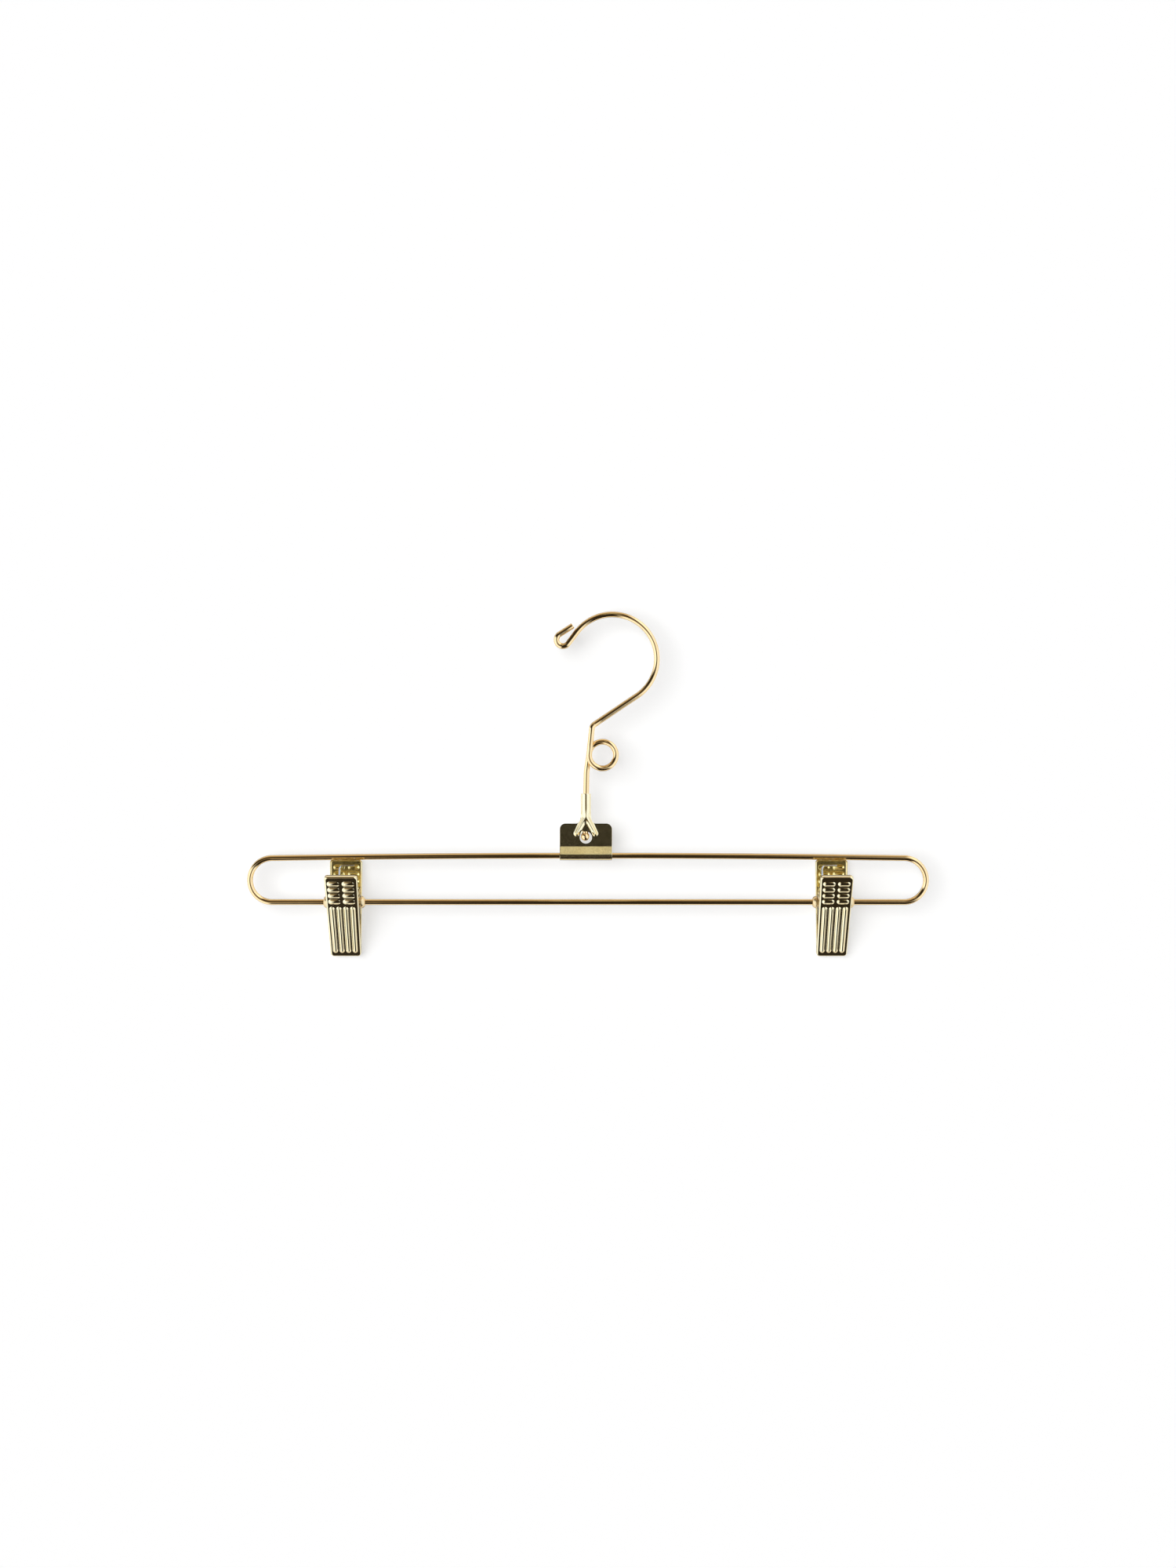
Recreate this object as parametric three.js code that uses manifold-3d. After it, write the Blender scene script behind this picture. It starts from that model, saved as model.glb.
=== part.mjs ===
// Clip hanger for skirts and trousers: a bent wire hook swivels in a folded sheet bracket,
// which is clamped on a long wire loop. Two sprung sheet clips slide on the loop's lower wire.
// Millimetres, +Z up, X along the loop, front towards -Y.
// The origin is where a rail meets the inside of the hook's crest.
import * as THREE from "three";
import { mergeVertices } from "three/addons/utils/BufferGeometryUtils.js";
import Module from "manifold-3d";

// Frame wire
const FRAME_WIDTH = 350;
const FRAME_WIRE = 3.0;
const END_RADIUS = 11.3;
const TOP_BOW = 1.2;
const BUTT_GAP = 0.6;

// Hook wire, in the order in which the wire runs up from its ball
const HOOK_WIRE = 3.0;
const HOOK_LEAN = 1.2;
const STEM_ABOVE_NECK = 10.1;
const SET_RADIUS = 15;
const SET_TURN = 7;
const SET_LENGTH = 9.0;
const EYE_RADIUS = 6.85;
const EYE_CLEARANCE = 0.9;
const STRAND_LEAN = 6.1;
const STRAND_LENGTH = 12.75;
const STRAND_RETURN = 0.9;
const SHOULDER_RADIUS = 3.2;
const DIAGONAL_RISE = 33.9;
const DIAGONAL_LENGTH = 26.3;
const DIAGONAL_RETURN = 1.3;
const RAIL_ARC_RADIUS = 22.85;
const RAIL_ARC_SWEEP = 199;
const SLOPE_LENGTH = 7.4;
const TAIL_BEND_RADIUS = 3.3;
const TAIL_BEND_SWEEP = 200;
const TAIL_LENGTH = 8.2;

// Centre bracket, heights above the top wire's centre
const BRACKET_SHEET = 0.6;
const BRACKET_WIDTH = 26.8;
const BRACKET_SHIFT = -1.1;
const PLATE_TOP = 16.5;
const PLATE_CORNER = 2.9;
const NECK_TOP = 31.8;
const FLARE_WIDTH = 2.6;
const FLARE_HEIGHT = 5.0;
const RAMP_TOP = 5.1;
const LEAF_GAP = 0.3;
const WRAP_CLEARANCE = 0.25;
const STEM_CLEARANCE = 0.5;
const HOLE_RADIUS = 3.15;
const HOLE_HEIGHT = 9.35;
const RIB_RADIUS = 2.0;
const RIB_FORK_HEIGHT = 17.9;
const RIB_END_HEIGHT = 11.3;
const RIB_END_SPREAD = 4.6;
const BALL_OVERSIZE = 0.2;

// Clips: distances along a jaw are from the pivot, upwards to the handle
const CLIP_LEFT_INSET = 49.95;
const CLIP_RIGHT_INSET = 49.15;
const JAW_SHEET = 0.6;
const JAW_WIDTH = 16.3;
const JAW_TAPER = 0.0014;
const HANDLE_REACH = 21.6;
const TIP_REACH = 28.0;
const JAW_ANGLE = 32;
const TIP_DEPTH = 1.2;
const FLANGE_DEPTH = 2.4;
const JAW_CORNER = 1.8;
const JAW_EDGE = 0.8;
const EAR_MARGIN = 1.65;
const EAR_REACH_UP = 7.5;
const EAR_REACH_DOWN = 7.0;
const EAR_GAP = 0.3;
const MEETING_GAP = 0.2;

// Pressed pads on the handles and ribs on the jaws, margins from the jaw's edges
const EMBOSS_HEIGHT = 0.55;
const EMBOSS_INSET = 0.45;
const PAD_WIDTH = 2.9;
const PAD_ROWS = 4;
const PAD_SIDE_MARGIN = 1.3;
const PAD_SPLIT = 1.1;
const PAD_TOP_MARGIN = 4.1;
const PAD_LOWEST = 6.6;
const RIB_COUNT = 4;
const RIB_WIDTH = 2.7;
const RIB_SIDE_MARGIN = 1.55;
const RIB_TIP_MARGIN = 2.7;
const RIB_TOP = 3.4;

// Pivot eyelet and torsion spring
const EYELET_CLEARANCE = 0.3;
const EYELET_WALL = 0.4;
const EYELET_FLANGE = 1.4;
const EYELET_TIP_WALL = 0.5;
const EYELET_HEAD_LENGTH = 2.2;
const EYELET_DOME = 2.0;
const PIVOT_CLEARANCE = 0.25;
const SPRING_WIRE = 1.0;
const COIL_CLEARANCE = 0.4;
const COIL_PITCH = 1.55;
const COIL_TURNS = 4;
const FOOT_MARGIN = 3.2;
const FOOT_LENGTH = 6.0;
const FOOT_BEND = 1.6;
const SPRING_LEFT_START = -3.4;
const SPRING_RIGHT_START = -4.9;
const SEAT_GAP = 0.3;

// Facets
const WIRE_SIDES = 10;
const BEND_STEP = 15;
const ROUND_SIDES = 20;
const ARC_STEPS = 5;
const CAP_STEPS = 3;
const BEAD_SIDES = 12;
const TOP_WIRE_STEPS = 8;
const DOME_STEPS = 4;
const SPRING_SIDES = 5;
const CURL_STEPS = 8;
const FOOT_STEPS = 4;
const WELD = 1e-4;
const GAP_SAMPLE = 0.4;
const SAME_TURN_REACH = 4;

const wasm = await Module();
wasm.setup();

const radians = THREE.MathUtils.degToRad;
const point = (x, y, z) => new THREE.Vector3(x, y, z);

// A closed geometry as a solid that can be joined and cut.
function toSolid(geometry) {
  const bare = new THREE.BufferGeometry();
  bare.setAttribute("position", geometry.getAttribute("position"));
  bare.setIndex(geometry.index);
  const merged = mergeVertices(bare, WELD);
  const vertProperties = new Float32Array(merged.attributes.position.array);
  const triVerts = new Uint32Array(merged.index.array);
  return new wasm.Manifold(new wasm.Mesh({ numProp: 3, vertProperties, triVerts }));
}

function toGeometry(solid) {
  const mesh = solid.getMesh();
  const geometry = new THREE.BufferGeometry();
  geometry.setAttribute("position", new THREE.BufferAttribute(mesh.vertProperties, 3));
  geometry.setIndex(new THREE.BufferAttribute(mesh.triVerts, 1));
  geometry.computeVertexNormals();
  return geometry;
}

const joined = (solids) => solids.reduce((sum, solid) => sum.add(solid));

// A shape drawn across the named axis and extruded along it, centred on `middle`.
// Across x a shape's plane is (y, z), across y it is (x, z) and across z it is (x, y).
function prism(shape, axis, depth, middle = 0) {
  const cut = { depth, bevelEnabled: false, curveSegments: ARC_STEPS };
  const geometry = new THREE.ExtrudeGeometry(shape, cut);
  geometry.translate(0, 0, -depth / 2);
  const turn = new THREE.Matrix4();
  if (axis === "x") turn.makeBasis(point(0, 1, 0), point(0, 0, 1), point(1, 0, 0));
  if (axis === "y") turn.makeBasis(point(1, 0, 0), point(0, 0, 1), point(0, -1, 0));
  geometry.applyMatrix4(turn);
  const along = { x: point(middle, 0, 0), y: point(0, middle, 0), z: point(0, 0, middle) }[axis];
  geometry.translate(along.x, along.y, along.z);
  return toSolid(geometry);
}

const polygon = (pairs) => new THREE.Shape(pairs.map(([a, b]) => new THREE.Vector2(a, b)));

function box(low, high) {
  const size = high.clone().sub(low);
  const geometry = new THREE.BoxGeometry(size.x, size.y, size.z);
  const centre = low.clone().add(high).multiplyScalar(0.5);
  geometry.translate(centre.x, centre.y, centre.z);
  return toSolid(geometry);
}

// A round rod of the given length along an axis, centred on `centre`.
function rod(radius, length, axis, centre) {
  const geometry = new THREE.CylinderGeometry(radius, radius, length, ROUND_SIDES);
  if (axis === "x") geometry.rotateZ(Math.PI / 2);
  if (axis === "z") geometry.rotateX(Math.PI / 2);
  geometry.translate(centre.x, centre.y, centre.z);
  return toSolid(geometry);
}

function roundedRectangle(left, right, bottom, top, radius) {
  const shape = new THREE.Shape();
  shape.moveTo(left + radius, bottom);
  shape.lineTo(right - radius, bottom);
  shape.absarc(right - radius, bottom + radius, radius, -Math.PI / 2, 0, false);
  shape.lineTo(right, top - radius);
  shape.absarc(right - radius, top - radius, radius, 0, Math.PI / 2, false);
  shape.lineTo(left + radius, top);
  shape.absarc(left + radius, top - radius, radius, Math.PI / 2, Math.PI, false);
  shape.lineTo(left, bottom + radius);
  shape.absarc(left + radius, bottom + radius, radius, Math.PI, 1.5 * Math.PI, false);
  return shape;
}

// A path whose stations are the given points, so that bends are fine and straight runs are plain.
class StationPath extends THREE.Curve {
  constructor(stations) {
    super();
    this.stations = stations;
  }
  getPointAt(share) {
    return this.stations[Math.round(share * (this.stations.length - 1))].clone();
  }
  getTangentAt(share) {
    const last = this.stations.length - 1;
    const here = Math.round(share * last);
    const step = (from) => this.stations[from + 1].clone().sub(this.stations[from]).normalize();
    const arriving = step(Math.max(here - 1, 0));
    const leaving = step(Math.min(here, last - 1));
    return arriving.add(leaving).normalize();
  }
}

function wireGeometry(stations, diameter, sides) {
  const corners = [];
  for (let i = 0; i < sides; i++) {
    const angle = (2 * Math.PI * i) / sides;
    corners.push([(diameter / 2) * Math.cos(angle), (diameter / 2) * Math.sin(angle)]);
  }
  return new THREE.ExtrudeGeometry(polygon(corners), {
    steps: stations.length - 1,
    extrudePath: new StationPath(stations),
    bevelEnabled: false,
  });
}

// Bends a wire move by move in the XZ plane: straight runs and turns, positive turns to the left.
// A move can also shift the wire in depth, evenly over its length.
class WireBender {
  constructor(start, heading) {
    this.here = start.clone();
    this.heading = radians(heading);
    this.stations = [start.clone()];
  }
  straight(length, depth = 0) {
    this.here.add(point(length * Math.cos(this.heading), depth, length * Math.sin(this.heading)));
    this.stations.push(this.here.clone());
    return this;
  }
  turn(radius, degrees, depth = 0) {
    const side = Math.sign(degrees);
    const steps = Math.ceil(Math.abs(degrees) / BEND_STEP);
    const toCentre = this.heading + (side * Math.PI) / 2;
    const inwards = point(radius * Math.cos(toCentre), 0, radius * Math.sin(toCentre));
    const centre = this.here.clone().add(inwards);
    for (let i = 1; i <= steps; i++) {
      const angle = toCentre + Math.PI + (radians(degrees) * i) / steps;
      const out = point(radius * Math.cos(angle), (depth * i) / steps, radius * Math.sin(angle));
      this.stations.push(centre.clone().add(out));
    }
    this.here = this.stations.at(-1).clone();
    this.heading += radians(degrees);
    return this;
  }
}

// Heights of the two wires and the bracket, from the hook's path below.
const hookRadius = HOOK_WIRE / 2;
const frameRadius = FRAME_WIRE / 2;
const boreRadius = hookRadius + STEM_CLEARANCE;
const neckRadius = boreRadius + BRACKET_SHEET;
const ballRadius = boreRadius + BALL_OVERSIZE;
const neckBottom = PLATE_TOP + FLARE_HEIGHT;
const neckMiddle = (NECK_TOP + neckBottom) / 2;
const leanSlope = Math.tan(radians(HOOK_LEAN));

// The ball hangs under the rim that the bracket's hole leaves of the stem's bore.
const rimHeight = HOLE_HEIGHT + Math.sqrt(HOLE_RADIUS ** 2 - boreRadius ** 2);
const ballOffset = leanSlope * (neckMiddle - HOLE_HEIGHT);
const ballDrop = Math.sqrt((ballRadius + SEAT_GAP) ** 2 - (boreRadius - ballOffset) ** 2);
const ballHeight = rimHeight - ballDrop;

// The hook in the bracket's own frame: from the ball up through the neck, round the eye
// and over the rail arc.
const ballCentre = point(-leanSlope * (neckMiddle - ballHeight), 0, ballHeight);
const eyeDepth = -(HOOK_WIRE + EYE_CLEARANCE);
const stemLength = (NECK_TOP + STEM_ABOVE_NECK - ballHeight) / Math.cos(radians(HOOK_LEAN));
const strandHeading = 90 - STRAND_LEAN;
const eyeSweep = 360 + STRAND_LEAN - HOOK_LEAN - SET_TURN;
const sweepToCrest = 180 - DIAGONAL_RISE;
const arcReturn = -eyeDepth - STRAND_RETURN - DIAGONAL_RETURN;

// Past the eye the wire comes back little by little, and at the crest it is in the stem's plane again.
const wireToCrest = () =>
  new WireBender(ballCentre, 90 - HOOK_LEAN)
    .straight(stemLength)
    .turn(SET_RADIUS, -SET_TURN)
    .straight(SET_LENGTH)
    .turn(EYE_RADIUS, -eyeSweep, eyeDepth)
    .straight(STRAND_LENGTH, STRAND_RETURN)
    .turn(SHOULDER_RADIUS, DIAGONAL_RISE - strandHeading)
    .straight(DIAGONAL_LENGTH, DIAGONAL_RETURN)
    .turn(RAIL_ARC_RADIUS, sweepToCrest, arcReturn);
const hookBends = wireToCrest()
  .turn(RAIL_ARC_RADIUS, RAIL_ARC_SWEEP - sweepToCrest)
  .straight(SLOPE_LENGTH)
  .turn(TAIL_BEND_RADIUS, -TAIL_BEND_SWEEP)
  .straight(TAIL_LENGTH);

// The crest is the highest point of the rail arc, and its inside is the part's origin.
const crest = wireToCrest().here;
const bracketPlace = point(-crest.x, 0, hookRadius - crest.z);
const frameCentreX = bracketPlace.x - BRACKET_SHIFT;
const topWireZ = bracketPlace.z;
const lowerWireZ = topWireZ - TOP_BOW - 2 * END_RADIUS;

const wireGold = { color: 0xd4aa64, metalness: 1, roughness: 0.14 };
const sheetGold = { color: 0xd6c583, metalness: 1, roughness: 0.16 };
const springSteel = { color: 0xb4b8be, metalness: 1, roughness: 0.22 };

function makeMesh(name, geometry, finish) {
  const mesh = new THREE.Mesh(geometry, new THREE.MeshStandardMaterial(finish));
  mesh.name = name;
  return mesh;
}

// Hook: the bent wire and the ball upset on its lower end.
function makeHook() {
  const wire = toSolid(wireGeometry(hookBends.stations, HOOK_WIRE, WIRE_SIDES));
  const ball = new THREE.SphereGeometry(ballRadius, ROUND_SIDES, ROUND_SIDES / 2);
  ball.translate(ballCentre.x, ballCentre.y, ballCentre.z);
  const mesh = makeMesh("hook", toGeometry(wire.add(toSolid(ball))), wireGold);
  mesh.position.copy(bracketPlace);
  return mesh;
}

// Frame wire: bowed top wire, two half-round ends and the straight lower wire, butted inside the bracket.
function makeFrameWire() {
  const halfRun = FRAME_WIDTH / 2 - frameRadius - END_RADIUS;
  const buttX = BRACKET_SHIFT;
  const endSteps = 180 / BEND_STEP;
  const topZ = (x) => -TOP_BOW * (x / halfRun) ** 2;
  const stations = [];
  for (let i = 0; i < TOP_WIRE_STEPS; i++) {
    const x = THREE.MathUtils.lerp(buttX + BUTT_GAP / 2, halfRun, i / TOP_WIRE_STEPS);
    stations.push(point(x, 0, topZ(x)));
  }
  for (const side of [1, -1]) {
    for (let i = 0; i <= endSteps; i++) {
      const angle = side * (Math.PI / 2) * (1 - (2 * i) / endSteps);
      const out = END_RADIUS * Math.cos(angle);
      stations.push(point(side * (halfRun + out), 0, END_RADIUS * (Math.sin(angle) - 1) - TOP_BOW));
    }
  }
  for (let i = TOP_WIRE_STEPS - 1; i >= 0; i--) {
    const x = THREE.MathUtils.lerp(buttX - BUTT_GAP / 2, -halfRun, i / TOP_WIRE_STEPS);
    stations.push(point(x, 0, topZ(x)));
  }
  const mesh = makeMesh("frame_wire", wireGeometry(stations, FRAME_WIRE, WIRE_SIDES), wireGold);
  mesh.position.set(frameCentreX, 0, topWireZ);
  return mesh;
}

// The folded sheet's side view: two upright walls that spread into a round wrap below.
function foldOutline(half, rampTop, radius, top) {
  const reach = Math.hypot(half, rampTop);
  const tangent = Math.atan2(rampTop, -half) + Math.acos(radius / reach);
  const shape = new THREE.Shape();
  shape.moveTo(half, top);
  shape.lineTo(-half, top);
  shape.lineTo(-half, rampTop);
  shape.absarc(0, 0, radius, tangent, 3 * Math.PI - tangent, false);
  shape.lineTo(half, rampTop);
  return shape;
}

// The leaf's front view: a plate with round corners that flares up into the neck.
function leafOutline() {
  const half = BRACKET_WIDTH / 2;
  const below = -2 * (frameRadius + WRAP_CLEARANCE + BRACKET_SHEET);
  const shape = new THREE.Shape();
  shape.moveTo(-half, below);
  shape.lineTo(half, below);
  shape.lineTo(half, PLATE_TOP - PLATE_CORNER);
  shape.absarc(half - PLATE_CORNER, PLATE_TOP - PLATE_CORNER, PLATE_CORNER, 0, Math.PI / 2, false);
  shape.lineTo(neckRadius + FLARE_WIDTH, PLATE_TOP);
  shape.quadraticCurveTo(neckRadius, PLATE_TOP, neckRadius, neckBottom);
  shape.lineTo(neckRadius, NECK_TOP);
  shape.lineTo(-neckRadius, NECK_TOP);
  shape.lineTo(-neckRadius, neckBottom);
  shape.quadraticCurveTo(-neckRadius, PLATE_TOP, -neckRadius - FLARE_WIDTH, PLATE_TOP);
  shape.lineTo(-half + PLATE_CORNER, PLATE_TOP);
  shape.absarc(-half + PLATE_CORNER, PLATE_TOP - PLATE_CORNER, PLATE_CORNER, Math.PI / 2, Math.PI, false);
  return shape;
}

// A rib of the inverted Y: a capsule in the fold's middle plane, so that both leaves bulge alike.
function bracketRib(side, radius) {
  const from = point(0, 0, RIB_FORK_HEIGHT);
  const to = point(side * RIB_END_SPREAD, 0, RIB_END_HEIGHT);
  const run = to.clone().sub(from);
  const geometry = new THREE.CapsuleGeometry(radius, run.length(), CAP_STEPS, BEAD_SIDES, 1);
  const aim = new THREE.Quaternion().setFromUnitVectors(point(0, 1, 0), run.clone().normalize());
  geometry.applyQuaternion(aim);
  const middle = from.add(to).multiplyScalar(0.5);
  geometry.translate(middle.x, middle.y, middle.z);
  return toSolid(geometry);
}

// Bracket: one folded sheet. The neck and the ribs are pressed out of both leaves
// before the fold is closed.
function makeBracket() {
  const inside = LEAF_GAP / 2;
  const outside = inside + BRACKET_SHEET;
  const wrapInside = frameRadius + WRAP_CLEARANCE;
  const spread = 2 * (neckRadius + RIB_RADIUS);
  const over = NECK_TOP + FRAME_WIRE;
  const boreLength = NECK_TOP + FRAME_WIRE - HOLE_HEIGHT;
  const boreCentre = point(0, 0, HOLE_HEIGHT + boreLength / 2);
  const tubeCentre = point(0, 0, (HOLE_HEIGHT + NECK_TOP) / 2);
  const wrapOutside = wrapInside + BRACKET_SHEET;
  const leaves = prism(foldOutline(outside, RAMP_TOP, wrapOutside, over), "x", BRACKET_WIDTH)
    .intersect(prism(leafOutline(), "y", spread));
  const pressedOut = joined([
    leaves,
    rod(neckRadius, NECK_TOP - HOLE_HEIGHT, "z", tubeCentre),
    bracketRib(-1, RIB_RADIUS),
    bracketRib(1, RIB_RADIUS),
  ]);
  const ribInside = RIB_RADIUS - BRACKET_SHEET;
  const space = joined([
    prism(foldOutline(inside, RAMP_TOP, wrapInside, 2 * over), "x", 2 * BRACKET_WIDTH),
    rod(boreRadius, boreLength, "z", boreCentre),
    bracketRib(-1, ribInside),
    bracketRib(1, ribInside),
    rod(HOLE_RADIUS, spread, "y", point(0, 0, HOLE_HEIGHT)),
  ]);
  const mesh = makeMesh("bracket", toGeometry(pressedOut.subtract(space)), sheetGold);
  mesh.position.copy(bracketPlace);
  return mesh;
}

// Sizes shared by the pieces of a clip. A jaw's own frame has its face at -Y and its handle at +Z.
const halfAngle = radians(JAW_ANGLE / 2);
const faceOffset = TIP_REACH * Math.tan(halfAngle) + TIP_DEPTH;
const halfWidth = JAW_WIDTH / 2;
const eyeletBore = frameRadius + EYELET_CLEARANCE;
const eyeletRadius = eyeletBore + EYELET_WALL;
const pivotHole = eyeletRadius + PIVOT_CLEARANCE;
const earRadius = pivotHole + EAR_MARGIN;
const padLength = halfWidth - PAD_SIDE_MARGIN - PAD_SPLIT / 2;
const padColumn = (PAD_SPLIT + padLength) / 2;
const padPitch = (HANDLE_REACH - PAD_TOP_MARGIN - PAD_LOWEST) / (PAD_ROWS - 1);
const ribPitch = (JAW_WIDTH - 2 * RIB_SIDE_MARGIN - RIB_WIDTH) / (RIB_COUNT - 1);
const ribBottom = RIB_TIP_MARGIN - TIP_REACH;

// Side view of a jaw without its ears: the face, shallow flanges and a tip cut back to where the jaws meet.
function jawSideOutline() {
  const flangeY = -(faceOffset - FLANGE_DEPTH);
  const meetingGap = MEETING_GAP / Math.cos(halfAngle);
  const taperZ = -(faceOffset - FLANGE_DEPTH - meetingGap) / Math.tan(halfAngle);
  const tipY = -(TIP_REACH * Math.tan(halfAngle) + meetingGap);
  const edgeY = -faceOffset + JAW_EDGE;
  const shape = new THREE.Shape();
  shape.moveTo(tipY, -TIP_REACH);
  shape.lineTo(flangeY, taperZ);
  shape.lineTo(flangeY, HANDLE_REACH);
  shape.lineTo(edgeY, HANDLE_REACH);
  shape.absarc(edgeY, HANDLE_REACH - JAW_EDGE, JAW_EDGE, Math.PI / 2, Math.PI, false);
  shape.lineTo(-faceOffset, -TIP_REACH + JAW_EDGE);
  shape.absarc(edgeY, -TIP_REACH + JAW_EDGE, JAW_EDGE, Math.PI, 1.5 * Math.PI, false);
  return shape;
}

// Side view of an ear: it runs from the flange to a round end about the pivot.
function earOutline(rootY) {
  const flangeY = faceOffset - FLANGE_DEPTH;
  const touch = (z) => Math.acos(earRadius / Math.hypot(flangeY, z));
  const upper = Math.atan2(EAR_REACH_UP, -flangeY) - touch(EAR_REACH_UP);
  const lower = Math.atan2(-EAR_REACH_DOWN, -flangeY) + touch(EAR_REACH_DOWN);
  const shape = new THREE.Shape();
  shape.moveTo(rootY, -EAR_REACH_DOWN);
  shape.lineTo(-flangeY, -EAR_REACH_DOWN);
  shape.absarc(0, 0, earRadius, lower, upper, false);
  shape.lineTo(-flangeY, EAR_REACH_UP);
  shape.lineTo(rootY, EAR_REACH_UP);
  return shape;
}

// A pressed bead on the face: half an ellipse across, with round ends.
function bead(length, width, height, upright, centre) {
  const geometry = new THREE.CapsuleGeometry(width / 2, length - width, CAP_STEPS, BEAD_SIDES, 1);
  if (upright) geometry.rotateX(Math.PI / 2);
  else geometry.rotateZ(Math.PI / 2);
  geometry.scale(1, (2 * height) / width, 1);
  geometry.translate(centre.x, centre.y, centre.z);
  return toSolid(geometry);
}

// All beads of a face at depth y, narrowed by `inset` all round for their hollow inside.
function faceBeads(y, inset) {
  const beads = [];
  const height = EMBOSS_HEIGHT * (1 - inset / PAD_WIDTH);
  for (let row = 0; row < PAD_ROWS; row++) {
    for (const side of [-1, 1]) {
      const centre = point(side * padColumn, y, PAD_LOWEST + row * padPitch);
      beads.push(bead(padLength - 2 * inset, PAD_WIDTH - 2 * inset, height, false, centre));
    }
  }
  for (let i = 0; i < RIB_COUNT; i++) {
    const x = (i - (RIB_COUNT - 1) / 2) * ribPitch;
    const centre = point(x, y, (RIB_TOP + ribBottom) / 2);
    beads.push(bead(RIB_TOP - ribBottom - 2 * inset, RIB_WIDTH - 2 * inset, height, true, centre));
  }
  return joined(beads);
}

// One jaw: a pressed channel with ears. Ears of the front jaw run on from its flanges,
// those of the back jaw are set in by the sheet and a gap, so that they pass inside.
function jawGeometry(earsInside) {
  const innerFace = faceOffset - JAW_SHEET;
  const deep = 2 * faceOffset;
  const tall = HANDLE_REACH + TIP_REACH;
  const crossCut = roundedRectangle(-halfWidth, halfWidth, -faceOffset, deep, JAW_EDGE);
  const faceCut = roundedRectangle(-halfWidth, halfWidth, -TIP_REACH, HANDLE_REACH, JAW_CORNER);
  const block = prism(jawSideOutline(), "x", JAW_WIDTH)
    .intersect(prism(crossCut, "z", 2 * tall))
    .intersect(prism(faceCut, "y", 2 * deep));
  const wallX = halfWidth - JAW_SHEET;
  const wallTop = HANDLE_REACH - JAW_SHEET;
  const wallTip = -TIP_REACH + JAW_SHEET;
  const hollowCut = roundedRectangle(-wallX, wallX, wallTip, wallTop, JAW_CORNER - JAW_SHEET);
  const hollow = prism(hollowCut, "y", 2 * deep)
    .intersect(box(point(-wallX, -innerFace, wallTip), point(wallX, deep, wallTop)));
  const overlap = JAW_SHEET / 4;
  const earRoot = earsInside ? -innerFace - overlap : -faceOffset + JAW_EDGE;
  const earX = earsInside ? wallX - EAR_GAP - JAW_SHEET / 2 : halfWidth - JAW_SHEET / 2;
  const pieces = [block.subtract(hollow)];
  for (const side of [-1, 1]) {
    pieces.push(prism(earOutline(earRoot), "x", JAW_SHEET, side * earX));
    if (!earsInside) continue;
    const joggle = [side * (earX - JAW_SHEET / 2), side * (wallX + overlap)].sort((a, b) => a - b);
    pieces.push(
      box(
        point(joggle[0], -innerFace - overlap, -EAR_REACH_DOWN),
        point(joggle[1], -(faceOffset - FLANGE_DEPTH), EAR_REACH_UP),
      ),
    );
  }
  pieces.push(faceBeads(-faceOffset, 0));
  const solid = joined(pieces)
    .subtract(faceBeads(-innerFace, EMBOSS_INSET))
    .subtract(rod(pivotHole, 2 * JAW_WIDTH, "x", point(0, 0, 0)));
  const geometry = toGeometry(solid);
  const places = geometry.getAttribute("position");
  for (let i = 0; i < places.count; i++) {
    places.setX(i, places.getX(i) * (1 + JAW_TAPER * places.getZ(i)));
  }
  return geometry;
}

// Eyelet: a tube on the lower wire with a domed head outside each pair of ears.
function eyeletGeometry() {
  const seat = halfWidth + SEAT_GAP;
  const headRadius = eyeletRadius + EYELET_FLANGE;
  const tipRadius = eyeletBore + EYELET_TIP_WALL;
  const half = [];
  half.push([eyeletRadius, seat], [headRadius, seat]);
  for (let i = 1; i <= DOME_STEPS; i++) {
    const share = i / DOME_STEPS;
    const narrow = (headRadius - tipRadius) * share ** EYELET_DOME;
    half.push([headRadius - narrow, seat + EYELET_HEAD_LENGTH * share]);
  }
  half.push([eyeletBore, seat + EYELET_HEAD_LENGTH]);
  const lower = half.map(([radius, along]) => [radius, -along]).reverse();
  const loop = [...lower, ...half, lower[0]];
  const profile = loop.map(([radius, along]) => new THREE.Vector2(radius, along));
  const geometry = new THREE.LatheGeometry(profile, ROUND_SIDES);
  geometry.rotateZ(-Math.PI / 2);
  return toGeometry(toSolid(geometry));
}

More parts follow.
